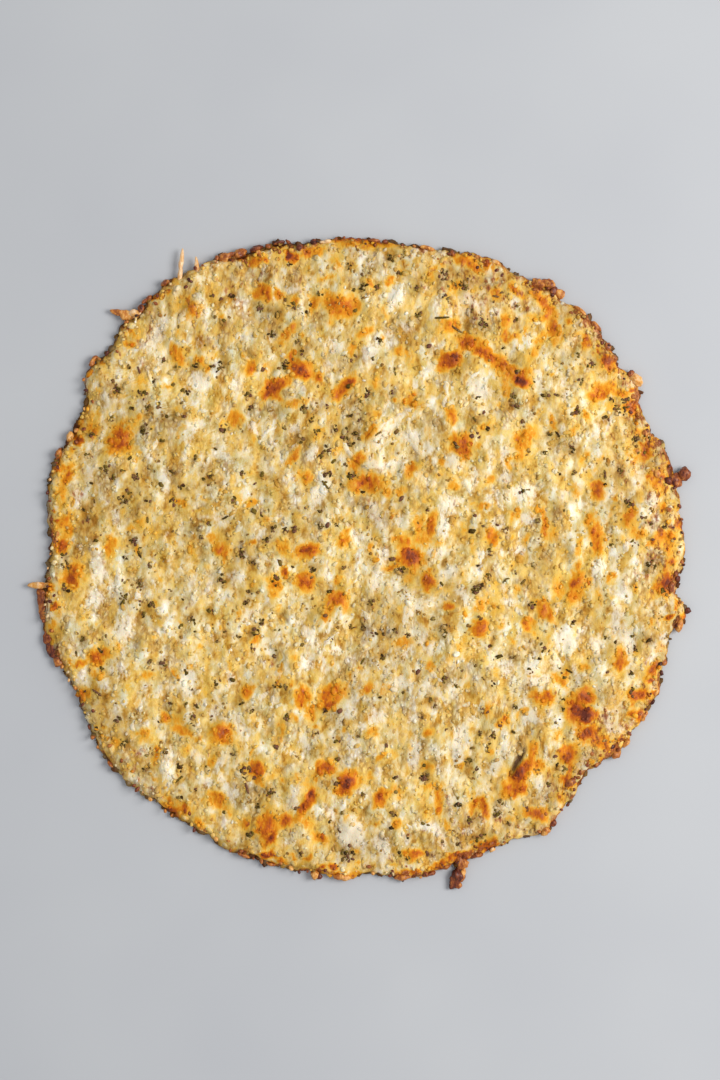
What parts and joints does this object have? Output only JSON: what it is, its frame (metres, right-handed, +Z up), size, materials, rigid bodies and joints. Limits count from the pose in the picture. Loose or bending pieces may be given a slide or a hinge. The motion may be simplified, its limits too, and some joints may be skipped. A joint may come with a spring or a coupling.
{
  "type": "cauliflower crust pizza",
  "caption": "Thin round baked pizza crust of riced cauliflower and melted cheese, with a ragged browned edge, cheese blisters and dried herb flakes, flat underneath.",
  "frame": {"origin": "middle of the crust's flat underside", "axes": "+Z is up out of the cheese side, +X is to the right and +Y to the top of the picture's straight-down view"},
  "size_m": [0.288, 0.2846, 0.0082],
  "materials": {
    "baked_crust": "baked riced cauliflower and cheese: cream-yellow and granular, golden to brown blisters, slightly greasy"
  },
  "bodies": {
    "root": {"cauliflower_crust": "baked_crust"}
  },
  "joints": []
}
